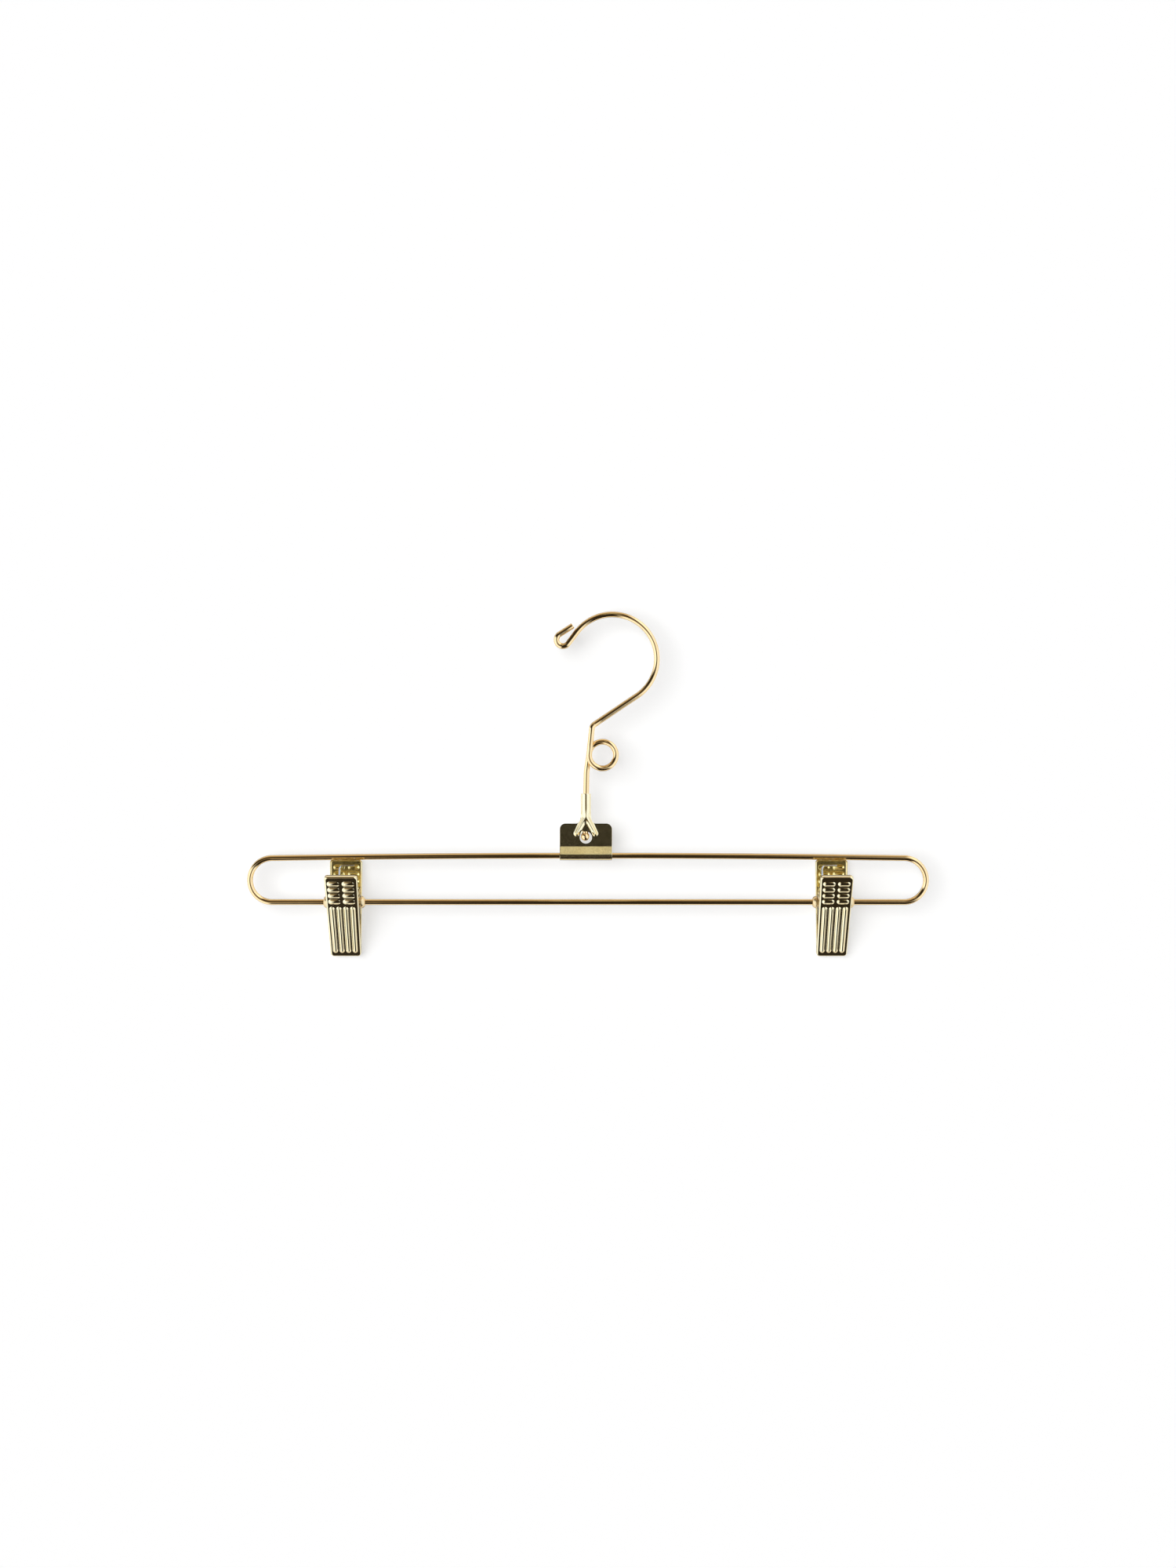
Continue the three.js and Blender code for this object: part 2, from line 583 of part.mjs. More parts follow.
// Torsion spring in the clip's frame: foot and leg on the back handle, coil,
// leg and foot on the front handle.
function springStations(start) {
  const coilRadius = eyeletRadius + COIL_CLEARANCE + SPRING_WIRE / 2;
  const footHeight = HANDLE_REACH - FOOT_MARGIN;
  const footY = faceOffset - JAW_SHEET - SEAT_GAP - SPRING_WIRE / 2;
  const footReach = Math.hypot(footY, footHeight);
  const legLean = Math.atan2(footY, footHeight) - Math.asin(coilRadius / footReach);
  const legLength = Math.sqrt(footReach ** 2 - coilRadius ** 2);
  const backStart = Math.PI / 2 + legLean;
  const frontEnd = 1.5 * Math.PI - legLean - radians(JAW_ANGLE) + 2 * Math.PI * COIL_TURNS;
  const steps = Math.ceil((CURL_STEPS * (frontEnd - backStart)) / (2 * Math.PI));
  const coilEnd = start + (COIL_PITCH * (frontEnd - backStart)) / (2 * Math.PI);

  // A leg rises from the coil along `up` and turns into its foot, which runs along X.
  const leg = (root, up, footSide) => {
    const stations = [];
    const bendStart = root.clone().addScaledVector(up, legLength - FOOT_BEND);
    for (let i = 0; i <= FOOT_STEPS; i++) {
      const angle = ((Math.PI / 2) * i) / FOOT_STEPS;
      const along = FOOT_BEND * Math.sin(angle);
      const across = footSide * FOOT_BEND * (1 - Math.cos(angle));
      stations.push(bendStart.clone().addScaledVector(up, along).add(point(across, 0, 0)));
    }
    stations.push(stations.at(-1).clone().add(point(footSide * FOOT_LENGTH, 0, 0)));
    return stations;
  };

  const coil = [];
  for (let i = 0; i <= steps; i++) {
    const angle = THREE.MathUtils.lerp(backStart, frontEnd, i / steps);
    const x = THREE.MathUtils.lerp(start, coilEnd, i / steps);
    coil.push(point(x, coilRadius * Math.sin(angle), coilRadius * Math.cos(angle)));
  }
  const frontLean = legLean + radians(JAW_ANGLE);
  const backUp = point(0, Math.sin(legLean), Math.cos(legLean));
  const frontUp = point(0, -Math.sin(frontLean), Math.cos(frontLean));
  const backLeg = leg(coil[0], backUp, 1).reverse();
  const frontLeg = leg(coil.at(-1), frontUp, -1);
  return [...backLeg, ...coil, ...frontLeg];
}

// Least clear distance between turns of a wire, on points spread along it.
function leastSelfGap(stations, diameter) {
  const dense = [];
  for (let i = 0; i + 1 < stations.length; i++) {
    const length = stations[i].distanceTo(stations[i + 1]);
    const parts = Math.max(1, Math.ceil(length / GAP_SAMPLE));
    for (let k = 0; k < parts; k++) dense.push(stations[i].clone().lerp(stations[i + 1], k / parts));
  }
  const along = [0];
  for (let i = 1; i < dense.length; i++) along.push(along[i - 1] + dense[i].distanceTo(dense[i - 1]));
  let least = Infinity;
  for (let i = 0; i < dense.length; i++) {
    for (let k = i + 1; k < dense.length; k++) {
      if (along[k] - along[i] < SAME_TURN_REACH * diameter) continue;
      least = Math.min(least, dense[i].distanceTo(dense[k]) - diameter);
    }
  }
  return least;
}

// One clip: the eyelet on the lower wire, the spring round it, and the two jaws that turn on it.
function makeClip(name, x, springStart) {
  const clip = new THREE.Group();
  clip.position.set(frameCentreX + x, 0, lowerWireZ);
  const frontJaw = makeMesh(name + "_front_jaw", jawGeometry(false), sheetGold);
  frontJaw.rotation.x = radians(JAW_ANGLE);
  const backJaw = makeMesh(name + "_back_jaw", jawGeometry(true), sheetGold);
  backJaw.rotation.z = Math.PI;
  const stations = springStations(springStart);
  const gap = leastSelfGap(stations, SPRING_WIRE);
  console.log(name + " spring: least gap between its turns " + gap.toFixed(2) + " mm");
  const spring = makeMesh(name + "_spring", wireGeometry(stations, SPRING_WIRE, SPRING_SIDES), springSteel);
  const eyelet = makeMesh(name + "_pivot_eyelet", eyeletGeometry(), sheetGold);
  clip.add(frontJaw, backJaw, spring, eyelet);
  return clip;
}

const hanger = new THREE.Group();
hanger.add(makeHook(), makeBracket(), makeFrameWire());
hanger.add(makeClip("left", CLIP_LEFT_INSET - FRAME_WIDTH / 2, SPRING_LEFT_START));
hanger.add(makeClip("right", FRAME_WIDTH / 2 - CLIP_RIGHT_INSET, SPRING_RIGHT_START));

export default hanger;
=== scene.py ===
import math

import bmesh
import bpy
import numpy as np
from mathutils import Matrix, Vector
from mathutils.geometry import tessellate_polygon


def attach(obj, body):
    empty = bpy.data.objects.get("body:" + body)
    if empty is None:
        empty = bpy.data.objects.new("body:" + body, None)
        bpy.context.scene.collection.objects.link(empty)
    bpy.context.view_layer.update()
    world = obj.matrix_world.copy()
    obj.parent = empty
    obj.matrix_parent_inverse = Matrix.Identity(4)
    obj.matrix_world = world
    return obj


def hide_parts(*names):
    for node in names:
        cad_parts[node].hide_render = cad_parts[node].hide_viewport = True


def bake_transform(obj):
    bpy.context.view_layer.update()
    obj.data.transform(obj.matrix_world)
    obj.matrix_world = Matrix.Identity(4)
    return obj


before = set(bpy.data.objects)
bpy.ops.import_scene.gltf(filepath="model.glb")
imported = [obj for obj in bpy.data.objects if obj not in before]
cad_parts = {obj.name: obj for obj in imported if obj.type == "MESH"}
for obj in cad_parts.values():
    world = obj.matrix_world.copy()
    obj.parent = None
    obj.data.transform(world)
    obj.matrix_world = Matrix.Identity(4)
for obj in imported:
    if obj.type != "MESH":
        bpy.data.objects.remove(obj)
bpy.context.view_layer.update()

# The hook is one length of hard drawn steel wire, bent cold into a stem, a small eye and the rail arc,
# with a ball upset on its lower end that hangs in the bracket. It is plated a warm gold all over.
MM = 0.001
HOOK_WIRE = 3.0
WIRE_SIDES = 40
RUN_STEP = 4.0
BEND_STEP = 3.0
BURR_SHARE = 0.1
BURR_ANGLES = (0, 25, 50, 70, 90)
MERGE_REACH = 1e-7
BALL_CENTRE = (-13.911, 0.0, -112.465)
BALL_RADIUS = 2.2
BALL_SEGMENTS, BALL_RINGS = 48, 32
STEM_HEADING = 88.8
RAIL_ARC = 22.85
HOOK_MOVES = [
    ("run", 32.01, 0.0),  # stem
    ("turn", 15.0, -7.0, 0.0),  # set in the stem
    ("run", 9.0, 0.6),  # up to the eye
    ("turn", 6.85, -357.9, -3.9),  # eye, which brings the wire in front of the stem
    ("run", 12.75, 0.95),  # strand beside the stem
    ("turn", 3.2, -50.0, 0.4),  # shoulder
    ("run", 26.3, 0.0),  # slanted neck
    ("turn", RAIL_ARC, 146.1, 1.95),  # rail arc up to its crest
    ("turn", RAIL_ARC, 52.9, 0.0),  # rail arc past its crest
    ("run", 7.4, 0.0),  # slope
    ("turn", 3.3, -200.0, 0.0),  # bend of the tail
    ("run", 8.2, 0.0),  # tail
]


def bend_wire(start, heading, moves):
    """Centre line of a wire bent move by move, in mm. A run has a length, a turn a radius and degrees,
    and both end in a shift in depth."""
    here, angle = np.array(start, float), math.radians(heading)
    line = [here.copy()]
    for move in moves:
        if move[0] == "run":
            _, length, depth = move
            step = np.array([length * math.cos(angle), depth, length * math.sin(angle)])
            parts = max(1, int(length / RUN_STEP))
            line += [here + step * (i / parts) for i in range(1, parts + 1)]
            here = here + step
        else:
            _, radius, degrees, depth = move
            inward = angle + math.copysign(math.pi / 2, degrees)
            centre = here + radius * np.array([math.cos(inward), 0.0, math.sin(inward)])
            parts = math.ceil(abs(degrees) / BEND_STEP)
            for i in range(1, parts + 1):
                out = inward + math.pi + math.radians(degrees) * i / parts
                line.append(centre + [radius * math.cos(out), depth * i / parts, radius * math.sin(out)])
            here, angle = line[-1].copy(), angle + math.radians(degrees)
    return line


def soften_ends(line, diameter):
    """Adds stations at both cut ends of a wire and a girth for each, so that the cut has a rounded edge."""
    burr = BURR_SHARE * diameter
    girth = [1.0] * len(line)
    for _ in range(2):
        tip, inward = line[0], line[1] - line[0]
        inward = inward / np.linalg.norm(inward)
        ring, ring_girth = [], []
        for t in np.radians(BURR_ANGLES):
            ring.append(tip + inward * burr * (1 - math.cos(t)))
            ring_girth.append(1 - 2 * burr / diameter * (1 - math.sin(t)))
        line, girth = (ring + line[1:])[::-1], (ring_girth + girth[1:])[::-1]
    return line, girth


def add_node(tree, kind, **settings):
    """Adds a node to a tree and sets its sockets or fields by name."""
    made = tree.nodes.new(kind)
    for key, value in settings.items():
        if key in made.inputs:
            made.inputs[key].default_value = value
        else:
            setattr(made, key, value)
    return made


def join(tree, pairs):
    """Links each output of a tree to its input."""
    for output, socket in pairs:
        tree.links.new(output, socket)


wire_tree = bpy.data.node_groups.new("drawn_wire", "GeometryNodeTree")
wire_sockets = {}
for label, way, kind in [
    ("Centre line", "INPUT", "Geometry"),
    ("Diameter", "INPUT", "Float"),
    ("Sides", "INPUT", "Int"),
    ("Plating", "INPUT", "Material"),
    ("Wire", "OUTPUT", "Geometry"),
]:
    socket = wire_tree.interface.new_socket(label, in_out=way, socket_type="NodeSocket" + kind)
    wire_sockets[label] = socket.identifier
wire_in = add_node(wire_tree, "NodeGroupInput")
wire_out = add_node(wire_tree, "NodeGroupOutput")
to_curve = add_node(wire_tree, "GeometryNodeMeshToCurve")
die = add_node(wire_tree, "GeometryNodeCurvePrimitiveCircle")
half_diameter = add_node(wire_tree, "ShaderNodeMath", operation="MULTIPLY")
half_diameter.inputs[1].default_value = 0.5
girth_field = add_node(wire_tree, "GeometryNodeInputNamedAttribute", Name="girth")
draw = add_node(wire_tree, "GeometryNodeCurveToMesh", **{"Fill Caps": True})
round_off = add_node(wire_tree, "GeometryNodeSetShadeSmooth")
realize = add_node(wire_tree, "GeometryNodeRealizeInstances")
plate = add_node(wire_tree, "GeometryNodeSetMaterial")
join(wire_tree, [
    (wire_in.outputs["Centre line"], to_curve.inputs["Mesh"]),
    (wire_in.outputs["Diameter"], half_diameter.inputs[0]),
    (wire_in.outputs["Sides"], die.inputs["Resolution"]),
    (half_diameter.outputs[0], die.inputs["Radius"]),
    (to_curve.outputs["Curve"], draw.inputs["Curve"]),
    (die.outputs["Curve"], draw.inputs["Profile Curve"]),
    (girth_field.outputs["Attribute"], draw.inputs["Scale"]),
    (draw.outputs["Mesh"], round_off.inputs["Geometry"]),
    (round_off.outputs["Geometry"], realize.inputs["Geometry"]),
    (realize.outputs["Geometry"], plate.inputs["Geometry"]),
    (wire_in.outputs["Plating"], plate.inputs["Material"]),
    (plate.outputs["Geometry"], wire_out.inputs["Wire"]),
])


def settle(piece):
    """Bakes the modifiers of a piece into a plain mesh of its own."""
    made = bpy.data.meshes.new_from_object(piece.evaluated_get(bpy.context.evaluated_depsgraph_get()))
    piece.modifiers.clear()
    piece.data = made


def turn_outward(piece):
    """Merges doubled points and turns every face outward."""
    shell = bmesh.new()
    shell.from_mesh(piece.data)
    bmesh.ops.remove_doubles(shell, verts=shell.verts, dist=MERGE_REACH)
    bmesh.ops.recalc_face_normals(shell, faces=shell.faces)
    shell.to_mesh(piece.data)
    shell.free()


def drawn_wire(name, line, diameter, sides, plating):
    """A plain mesh of round wire along a centre line given in mm."""
    line, girth = soften_ends(line, diameter)
    path = bpy.data.meshes.new(name + "_line")
    path.from_pydata([tuple(p * MM) for p in line], [(i, i + 1) for i in range(len(line) - 1)], [])
    path.attributes.new("girth", "FLOAT", "POINT").data.foreach_set("value", np.array(girth, np.float32))
    piece = bpy.data.objects.new(name, path)
    bpy.context.collection.objects.link(piece)
    making = piece.modifiers.new("wire", "NODES")
    making.node_group = wire_tree
    making[wire_sockets["Diameter"]] = diameter * MM
    making[wire_sockets["Sides"]] = sides
    making[wire_sockets["Plating"]] = plating
    settle(piece)
    bpy.data.meshes.remove(path)
    piece.data.name = name
    turn_outward(piece)
    return piece


def blend_colours(tree, low, low_colour, high, high_colour):
    """A ramp from one colour to another."""
    ramp = add_node(tree, "ShaderNodeValToRGB")
    for stop, position, colour in zip(ramp.color_ramp.elements, (low, high), (low_colour, high_colour)):
        stop.position, stop.color = position, (*colour, 1.0)
    return ramp


def plated_metal(name, pale, deep, drift, smoothest, dullest, waves, grain):
    """A plated metal finish: two near colours that drift over the piece, a fine change in its gloss,
    broad waves left by the bending and, on rolled sheet, the sheet's own grain under the plating."""
    metal = bpy.data.materials.new(name)
    metal.use_nodes = True
    tree = metal.node_tree
    shader = tree.nodes["Principled BSDF"]
    shader.inputs["Metallic"].default_value = 1.0
    place = add_node(tree, "ShaderNodeTexCoord")
    clouds = add_node(tree, "ShaderNodeTexNoise", Scale=drift, Detail=2.0)
    tint = blend_colours(tree, 0.3, deep, 0.7, pale)
    fine = add_node(tree, "ShaderNodeTexNoise", Scale=1800.0, Detail=3.0)
    gloss = add_node(tree, "ShaderNodeMapRange", **{
        "From Min": 0.3, "From Max": 0.7, "To Min": smoothest, "To Max": dullest,
    })
    broad = add_node(tree, "ShaderNodeTexNoise", Scale=160.0, Detail=1.0)
    swell = add_node(tree, "ShaderNodeBump", Strength=waves, Distance=0.0004)
    specks = add_node(tree, "ShaderNodeTexNoise", Scale=1900.0, Detail=2.0, Roughness=0.6)
    press = add_node(tree, "ShaderNodeBump", Strength=grain, Distance=0.0001)
    join(tree, [(place.outputs["Object"], pattern.inputs["Vector"]) for pattern in (clouds, fine, broad, specks)])
    join(tree, [
        (clouds.outputs["Fac"], tint.inputs["Fac"]),
        (tint.outputs["Color"], shader.inputs["Base Color"]),
        (fine.outputs["Fac"], gloss.inputs["Value"]),
        (gloss.outputs["Result"], shader.inputs["Roughness"]),
        (broad.outputs["Fac"], swell.inputs["Height"]),
        (specks.outputs["Fac"], press.inputs["Height"]),
        (swell.outputs["Normal"], press.inputs["Normal"]),
        (press.outputs["Normal"], shader.inputs["Normal"]),
    ])
    return metal


wire_gold = plated_metal(
    "wire_gold", pale=(0.90, 0.68, 0.38), deep=(0.87, 0.63, 0.33),
    drift=90.0, smoothest=0.05, dullest=0.10, waves=0.05, grain=0.02,
)
hook_line = bend_wire(BALL_CENTRE, STEM_HEADING, HOOK_MOVES)
hook = drawn_wire("bent_hook", hook_line, HOOK_WIRE, WIRE_SIDES, wire_gold)
with_ball = bmesh.new()
with_ball.from_mesh(hook.data)
ball = bmesh.ops.create_uvsphere(
    with_ball, u_segments=BALL_SEGMENTS, v_segments=BALL_RINGS, radius=BALL_RADIUS * MM,
)
bmesh.ops.translate(with_ball, verts=ball["verts"], vec=Vector(BALL_CENTRE) * MM)
for face in with_ball.faces:
    face.smooth = True
with_ball.to_mesh(hook.data)
with_ball.free()
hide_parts("hook")
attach(hook, "hook")

# The frame wire is one bowed top run, two half-round ends and a straight lower run of the same drawn wire.
# Its two cut ends butt inside the bracket, so no joint shows; the plating is the hook's own.
FRAME_WIDTH = 350.0
FRAME_WIRE = 3.0
END_RADIUS = 11.3
END_STATIONS = 61
TOP_BOW = 1.2
TOP_STATIONS = 40
BUTT_GAP = 0.6
FRAME_CENTRE_X = -12.46
BUTT_X = -1.1
TOP_WIRE_Z = -122.36
LOWER_WIRE_Z = -146.16
half_run = FRAME_WIDTH / 2 - FRAME_WIRE / 2 - END_RADIUS


def top_run(from_x, to_x):
    """Stations of the bowed top wire, about its own middle."""
    stations = np.linspace(from_x, to_x, TOP_STATIONS)
    return [np.array([x, 0.0, -TOP_BOW * (x / half_run) ** 2]) for x in stations]


frame_line = top_run(BUTT_X + BUTT_GAP / 2, half_run)
for side in (1, -1):
    for turn in np.radians(np.linspace(90, -90, END_STATIONS)[1 if side == 1 else 0:]):
        turn *= side
        frame_line.append(np.array([
            side * (half_run + END_RADIUS * math.cos(turn)), 0.0,
            END_RADIUS * (math.sin(turn) - 1) - TOP_BOW,
        ]))
frame_line += top_run(-half_run, BUTT_X - BUTT_GAP / 2)[1:]
frame_line = [p + [FRAME_CENTRE_X, 0.0, TOP_WIRE_Z] for p in frame_line]
frame_wire = drawn_wire("frame_loop", frame_line, FRAME_WIRE, WIRE_SIDES, wire_gold)
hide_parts("frame_wire")
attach(frame_wire, "frame")

# The bracket is one blank of thin steel sheet folded round the top wire, so that two leaves lie back to back.
# A neck for the hook's stem and two spreading ribs are pressed out of both leaves, and a round hole shows the ball.
BRACKET_PLACE = (-13.56, 0.0, TOP_WIRE_Z)
BRACKET_SHEET = 0.6
BRACKET_EDGE = 0.08
PLATE_HALF = 13.4
PLATE_TOP = 16.5
PLATE_CORNER = 2.9
NECK_RADIUS = 2.6
NECK_TOP = 31.8
NECK_BOTTOM = 21.5
NECK_MELT = (18.8, 24.2)
FLARE_WIDTH = 2.6
LEAF_FACE = 0.75
LEAF_FILLET = 0.05
RAMP_TOP = 5.1
WRAP_HEIGHT = 2.35
WRAP_DEPTH = 2.5
HOLE_RADIUS = 3.15
HOLE_HEIGHT = 9.35
HOLE_SNAP = 0.4
RIB_FORK = 20.0
RIB_END = (4.75, 11.4)
RIB_OUTER = (2.6, 1.55)
RIB_INNER = 1.45
RIB_CREST = (2.6, 2.3)
RIB_FADE = 0.7
FORK_FLOOR = 1.9
FORK_FILL = (16.0, 18.6)
MIDDLE_STATIONS, STRIP_STATIONS = 49, 36
NECK_ROWS, FLARE_ROWS, CORNER_ROWS, LEAF_ROWS, RAMP_ROWS, WRAP_ROWS = 22, 18, 15, 42, 10, 32


def rise(value, low, high):
    """A smooth rise from 0 to 1 as a value goes from low to high."""
    share = np.clip((value - low) / (high - low), 0, 1)
    return share * share * (3 - 2 * share)


def hill(away, width):
    """A smooth fall from 1 to 0 over a width."""
    return 0.5 + 0.5 * np.cos(math.pi * np.clip(away / width, 0, 1))


def soft_max(a, b, width):
    """The larger of two heights with a fillet between them."""
    mix = np.clip(0.5 + 0.5 * (a - b) / width, 0, 1)
    return b + (a - b) * mix + width * mix * (1 - mix)


def leaf_height(x, z):
    """How far a leaf's outer face stands from the fold's middle plane."""
    x = np.abs(x)
    neck = np.sqrt(np.maximum(NECK_RADIUS**2 - x**2, 0.0))
    fade = rise(z, *NECK_MELT)
    run = np.array([RIB_END[0], RIB_END[1] - RIB_FORK])
    share = np.clip((x * run[0] + (z - RIB_FORK) * run[1]) / (run @ run), 0, 1)
    across_x, across_z = x - share * run[0], z - RIB_FORK - share * run[1]
    away = np.where(z > RIB_FORK, x, np.hypot(across_x, across_z))
    within = (across_x * run[1] - across_z * run[0] > 0) & (share > 0) & (share < 1)
    crest = RIB_CREST[0] + (RIB_CREST[1] - RIB_CREST[0]) * share
    outer_width = RIB_OUTER[0] + (RIB_OUTER[1] - RIB_OUTER[0]) * share
    floor = FORK_FLOOR + (crest - FORK_FLOOR) * rise(z, *FORK_FILL)
    rib = LEAF_FACE + (crest - LEAF_FACE) * hill(away, outer_width)
    inner = floor + (crest - floor) * hill(away, RIB_INNER)
    rib = np.where(within, rib + (inner - rib) * (1 - rise(share, RIB_FADE, 1.0)), rib)
    rib = soft_max(rib, np.full_like(rib, LEAF_FACE), LEAF_FILLET)
    return np.maximum(rib + (neck - rib) * fade, LEAF_FACE * (1 - fade))


def sheet_piece(name, points, faces, finish):
    """A mesh from points in mm."""
    made = bpy.data.meshes.new(name)
    made.from_pydata([tuple(p) for p in np.asarray(points) * MM], [], faces)
    made.materials.append(finish)
    piece = bpy.data.objects.new(name, made)
    bpy.context.collection.objects.link(piece)
    return piece


def shade_by_angle(piece, degrees):
    """Smooth shading that breaks at folds sharper than the given angle."""
    piece.data.shade_smooth()
    piece.data.set_sharp_from_angle(angle=math.radians(degrees))


across = np.sin(np.radians(np.linspace(-90, 90, MIDDLE_STATIONS)))
neck_rows = [(NECK_RADIUS, z) for z in np.linspace(NECK_TOP, NECK_BOTTOM, NECK_ROWS)]
for t in np.linspace(1, 0, FLARE_ROWS)[1:-1]:
    neck_rows.append((NECK_RADIUS + FLARE_WIDTH * (1 - t) ** 2, PLATE_TOP + (NECK_BOTTOM - PLATE_TOP) * t * t))
leaf_rows = [
    (PLATE_HALF - PLATE_CORNER * (1 - math.cos(t)), PLATE_TOP - PLATE_CORNER * (1 - math.sin(t)))
    for t in np.radians(np.linspace(90, 0, CORNER_ROWS))
]
leaf_rows += [(PLATE_HALF, z) for z in np.linspace(PLATE_TOP - PLATE_CORNER, RAMP_TOP, LEAF_ROWS)[1:]]
ramp_y, ramp_z = -LEAF_FACE / WRAP_DEPTH, RAMP_TOP / WRAP_HEIGHT
tangent = math.atan2(ramp_z, ramp_y) + math.acos(1 / math.hypot(ramp_y, ramp_z))
wrap = [
    (WRAP_DEPTH * math.cos(t), WRAP_HEIGHT * math.sin(t))
    for t in np.linspace(tangent, math.pi * 1.5, WRAP_ROWS)
]
ramp_from, ramp_to = np.array([-LEAF_FACE, RAMP_TOP]), np.array(wrap[0])
half_fold = [tuple(ramp_from + (ramp_to - ramp_from) * s) for s in np.linspace(0, 1, RAMP_ROWS)[1:-1]] + wrap


def plate_row(half):
    """Stations across the plate: even outer strips and fine ones over the pressed middle."""
    middle = NECK_RADIUS + FLARE_WIDTH
    outer = np.linspace(-half, -middle, STRIP_STATIONS + 1)[:-1]
    return np.array([*outer, *(middle * across), *(-outer[::-1])])


def leaf(side):
    """One leaf's rows from the neck's top edge down to the ramp, on the front (-1) or the back (1)."""
    made = []
    for half, z in neck_rows:
        xs = half * across
        made.append((xs, side * leaf_height(xs, np.full_like(xs, z)), np.full_like(xs, z)))
    for half, z in leaf_rows:
        xs = plate_row(half)
        zs = np.full_like(xs, z)
        out = np.hypot(xs, zs - HOLE_HEIGHT)
        near_edge = (out > HOLE_RADIUS - HOLE_SNAP) & (out < HOLE_RADIUS)
        snap = np.where(near_edge, HOLE_RADIUS / np.maximum(out, 1e-6), 1.0)
        xs, zs = xs * snap, HOLE_HEIGHT + (zs - HOLE_HEIGHT) * snap
        made.append((xs, side * leaf_height(xs, zs), zs))
    return made


plain = plate_row(PLATE_HALF)
blank = leaf(-1)
blank += [(plain, np.full_like(plain, y), np.full_like(plain, z)) for y, z in half_fold]
blank += [(plain, np.full_like(plain, -y), np.full_like(plain, z)) for y, z in half_fold[-2::-1]]
blank += leaf(1)[::-1]
points, rows, faces = [], [], []
for xs, ys, zs in blank:
    rows.append(list(range(len(points), len(points) + len(xs))))
    points.extend(zip(xs, ys, zs))
for upper, lower in zip(rows, rows[1:]):
    if len(upper) < len(lower):
        lower = lower[STRIP_STATIONS:-STRIP_STATIONS]
    if len(lower) < len(upper):
        upper = upper[STRIP_STATIONS:-STRIP_STATIONS]
    faces += [(upper[i], lower[i], lower[i + 1], upper[i + 1]) for i in range(len(upper) - 1)]
spots = np.array(points)
in_hole = np.hypot(spots[:, 0], spots[:, 2] - HOLE_HEIGHT) < HOLE_RADIUS + 1e-4
faces = [f for f in faces if not in_hole[list(f)].all()]

bracket_gold = plated_metal(
    "bracket_gold", pale=(0.89, 0.78, 0.52), deep=(0.85, 0.73, 0.45),
    drift=120.0, smoothest=0.10, dullest=0.18, waves=0.10, grain=0.17,
)
bracket = sheet_piece("folded_bracket", spots, faces, bracket_gold)
thickness = bracket.modifiers.new("sheet", "SOLIDIFY")
thickness.thickness = BRACKET_SHEET * MM
thickness.offset = -1.0
thickness.use_quality_normals = True
trim = bracket.modifiers.new("rolled_edge", "BEVEL")
trim.width = BRACKET_EDGE * MM
trim.segments = 2
trim.limit_method = "ANGLE"
trim.angle_limit = math.radians(50)
settle(bracket)
bracket.data.transform(Matrix.Translation(Vector(BRACKET_PLACE) * MM))
stray = bmesh.new()
stray.from_mesh(bracket.data)
bmesh.ops.delete(stray, geom=[v for v in stray.verts if not v.link_faces], context="VERTS")
stray.to_mesh(bracket.data)
stray.free()
shade_by_angle(bracket, 32)
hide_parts("bracket")
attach(bracket, "frame")

# Each clip has two jaws, pressed from thin steel sheet into shallow trays with pads on the handle, ribs on the grip
# and an ear each side for the pivot. The back jaw's ears are set in, so that they pass inside the front jaw's.
CLIP_CENTRES = {"left": -137.51, "right": 113.39}
JAW_SHEET = 0.6
JAW_HALF = 8.15
JAW_TAPER = 0.0014
HANDLE_REACH = 21.6
TIP_REACH = 28.0
JAW_ANGLE = 32.0
JAW_FACE = 9.229
FLANGE_DEPTH = 2.4
JAW_EDGE = 0.8
JAW_CORNER = 1.0
JAW_COLUMNS, JAW_RANKS = 108, 236
MEETING_GAP = 0.208
PAD_HEIGHT = 0.55
PAD_HALF_WIDTH = 1.45
PAD_LENGTH = 6.3
PAD_COLUMN = 3.7
PAD_ROWS = 4
PAD_LOWEST = 6.6
PAD_PITCH = 3.63
GRIP_RIBS = 4
GRIP_HEIGHT = 0.8
GRIP_HALF_WIDTH = 1.28
GRIP_PITCH = 3.5
GRIP_TOP = 3.4
GRIP_BOTTOM = -25.3
HOLLOW_INSET = 0.28
FOOT_SHARE, FOOT_DIP = 0.2, 0.1
EAR_RADIUS = 4.1
EAR_UP = 7.5
EAR_DOWN = 7.0
EAR_SET_IN = 0.9
EAR_ROOTS = {"front": 0.3, "back": 1.6}
PIVOT_HOLE = 2.45
HOLE_SIDES, NOSE_POINTS = 40, 40


